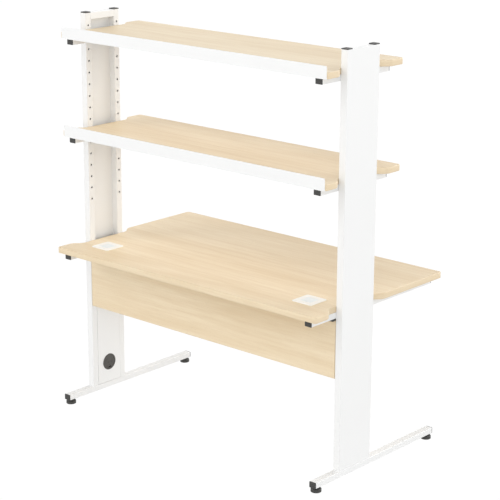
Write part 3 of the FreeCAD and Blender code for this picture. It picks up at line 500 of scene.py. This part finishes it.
UP = (0, 0, 1)
ARM_Z = 0.6715
wood_screws("desktop_screws", "frame", [((s * 0.6675, y, ARM_Z), UP) for s in (-1, 1) for y in (-0.300, -0.110, 0.330)],
            0.0025, 0.041, 0.016, 0.006, 0.003)
hex_bolts("arm_bolts", "frame", [((s * 0.6515, y, 0.684), (s, 0, 0)) for s in (-1, 1) for y in (0.0645, 0.228)], 0.040)
small = []
for k in (-1, 0, 1):
    for d in (-0.012, 0.012):
        small.append(((0.450 * k + d, 0.201, 0.6935), UP))
        small.append(((0.450 * k + d, 0.222, 0.6425), (0, 1, 0)))
wood_screws("modesty_screws", "frame", small, 0.002, 0.013, 0.009, 0.004, 0.0024)
for tag, top in (("upper", 1.6415), ("lower", 1.225)):
    body = tag + "_shelf"
    wood_screws(tag + "_shelf_screws", body, [((s * 0.667, y, top - 0.050), UP) for s in (-1, 1) for y in (0.0, 0.310)],
                0.0025, 0.041, 0.016, 0.006, 0.003)
    wood_screws(tag + "_lip_screws", body, [((x, 0.3425, top - 0.027), UP) for x in (-0.560, -0.280, 0.0, 0.280, 0.560)],
                0.002, 0.013, 0.010, 0.004, 0.0024)
    hex_bolts(tag + "_shelf_arm_bolts", body,
              [((s * 0.651, 0.14625 + d, top - 0.0375), (s, 0, 0)) for s in (-1, 1) for d in (-0.036, 0.036)], 0.038)
for tag, s in (("left", -1), ("right", 1)):
    for where, y in (("front", -0.358), ("back", 0.366)):
        name = "%s_%s_glide_stud" % (tag, where)
        n = 36
        rings = [circle(0.0030, 0.0012, n), circle(0.0038, 0.0019, n)]
        rings += thread(0.004, 0.00065, 0.00125, 0.0021, 0.0362, n, per=6)
        rings += [circle(0.0039, 0.0365, n), circle(0.0029, 0.0375, n), circle(0.0014, 0.0375, n)]
        bm = bmesh.new()
        loft(bm, rings, Matrix.Translation((s * 0.6995, y, 0.0)))
        finish_solids(bm)
        o = new_object(name + "_thread", bm, ZINC, "%s_%s_glide" % (tag, where))
        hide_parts(name)


# ------------------------------------------------------------------ grommet caps
# The turning caps again, welded into one closed skin at the point of their shallow cone.
for tag in ("left", "right"):
    name = tag + "_grommet_cap"
    bm = bmesh.new()
    bm.from_mesh(nodes[name].data)
    bmesh.ops.remove_doubles(bm, verts=bm.verts, dist=0.000004)
    bmesh.ops.dissolve_degenerate(bm, edges=bm.edges, dist=0.000002)
    for f in bm.faces:
        f.smooth = True
    finish_solids(bm)
    o = new_object(name + "_moulding", bm, GROMMET, name)
    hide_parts(name)


# ------------------------------------------------------------------ stage, light, camera
bm = bmesh.new()
bmesh.ops.create_grid(bm, x_segments=8, y_segments=8, size=30.0)
me = bpy.data.meshes.new("floor")
bm.to_mesh(me)
bm.free()
floor = bpy.data.objects.new("floor", me)
floor.location.z = -0.0004
scene.collection.objects.link(floor)
m, nt, b = new_material("pale_floor")
p = object_coords(nt)
nt.links.new(mixed(nt, noise(nt, p, 0.8, 3.0), (0.30, 0.30, 0.30), (0.31, 0.31, 0.31)), b.inputs["Base Color"])
b.inputs["Roughness"].default_value = 0.9
b.inputs["Specular IOR Level"].default_value = 0.1
b.inputs["Emission Color"].default_value = (1, 1, 1, 1)
b.inputs["Emission Strength"].default_value = 0.40
plain = add(nt, "ShaderNodeEmission")
plain.inputs["Strength"].default_value = 1.02
seen = add(nt, "ShaderNodeLightPath")
pick = add(nt, "ShaderNodeMixShader")
nt.links.new(seen.outputs["Is Camera Ray"], pick.inputs[0])
nt.links.new(b.outputs["BSDF"], pick.inputs[1])
nt.links.new(plain.outputs["Emission"], pick.inputs[2])
nt.links.new(pick.outputs["Shader"], nt.nodes["Material Output"].inputs["Surface"])
m.cycles.emission_sampling = "NONE"
me.materials.append(m)

# A white tent: bright low walls, a dimmer roof; the camera sees it plain white.
world = bpy.data.worlds.new("studio")
world.use_nodes = True
wt = world.node_tree
tent = wt.nodes["Background"]
tent.inputs["Color"].default_value = (1, 1, 1, 1)
where = add(wt, "ShaderNodeTexCoord").outputs["Generated"]
height = add(wt, "ShaderNodeSeparateXYZ")
wt.links.new(where, height.inputs[0])
rise = span(wt, height.outputs["Z"], 0.0, 1.0)
rise.node.inputs["From Min"].default_value = -0.10
wall = ramp(wt, rise, [(0.02, 0.0), (0.055, 0.90), (0.273, 0.88), (0.418, 0.20), (0.636, 0.26), (1.0, 0.20)])


def soft_box(light, strength, angle, direction):
    """Round soft light set into the tent: even in the middle, faded at its rim."""
    a = math.radians(angle / 2)
    dot = add(wt, "ShaderNodeVectorMath")
    dot.operation = "DOT_PRODUCT"
    wt.links.new(where, dot.inputs[0])
    dot.inputs[1].default_value = Vector(direction).normalized()
    glow = span(wt, dot.outputs["Value"], 0.0, strength / math.sin(a) ** 2)
    glow.node.interpolation_type = "SMOOTHSTEP"
    glow.node.inputs["From Min"].default_value = math.cos(1.35 * a)
    glow.node.inputs["From Max"].default_value = math.cos(0.6 * a)
    return math_node(wt, "ADD", light, glow)


light = math_node(wt, "MULTIPLY", wall, 1.98)
light = soft_box(light, 0.195, 60.0, (-0.64, 0.68, 0.16))
light = soft_box(light, 0.58, 60.0, (-0.20, -0.85, 0.45))
light = soft_box(light, 0.168, 50.0, (-0.10, 0.50, 0.87))
wt.links.new(light, tent.inputs["Strength"])
plain = add(wt, "ShaderNodeBackground")
plain.inputs["Color"].default_value = (1, 1, 1, 1)
plain.inputs["Strength"].default_value = 1.02
seen = add(wt, "ShaderNodeLightPath")
pick = add(wt, "ShaderNodeMixShader")
wt.links.new(seen.outputs["Is Camera Ray"], pick.inputs[0])
wt.links.new(tent.outputs["Background"], pick.inputs[1])
wt.links.new(plain.outputs["Background"], pick.inputs[2])
wt.links.new(pick.outputs["Shader"], wt.nodes["World Output"].inputs["Surface"])
scene.world = world


key_data = bpy.data.lights.new("key", "SUN")
key_data.energy = math.pi * 0.165
key_data.angle = math.radians(26.0)
key = bpy.data.objects.new("key", key_data)
key.rotation_euler = Vector((0.54, 0.65, 0.54)).to_track_quat("Z", "Y").to_euler()
scene.collection.objects.link(key)

scene.view_settings.view_transform = "Standard"
scene.view_settings.look = "None"
scene.view_settings.exposure = 0.0
scene.view_settings.gamma = 1.0

cam_data = bpy.data.cameras.new("photo_camera")
cam = bpy.data.objects.new("photo_camera", cam_data)
scene.collection.objects.link(cam)
right = Vector((-0.74767478, -0.66405023, 0.00444026))
up = Vector((0.18701135, -0.20413661, 0.96091363))
back = -Vector((0.63718849, -0.71928127, -0.27681273))
rot = Matrix((right, up, back)).transposed()
cam.matrix_world = Matrix.Translation((-4.43001, 4.96992, 2.6788)) @ rot.to_4x4()
cam_data.sensor_width = 36.0
cam_data.lens = 1656.1 / 500.0 * 36.0
cam_data.clip_start = 0.1
cam_data.clip_end = 120.0
scene.camera = cam
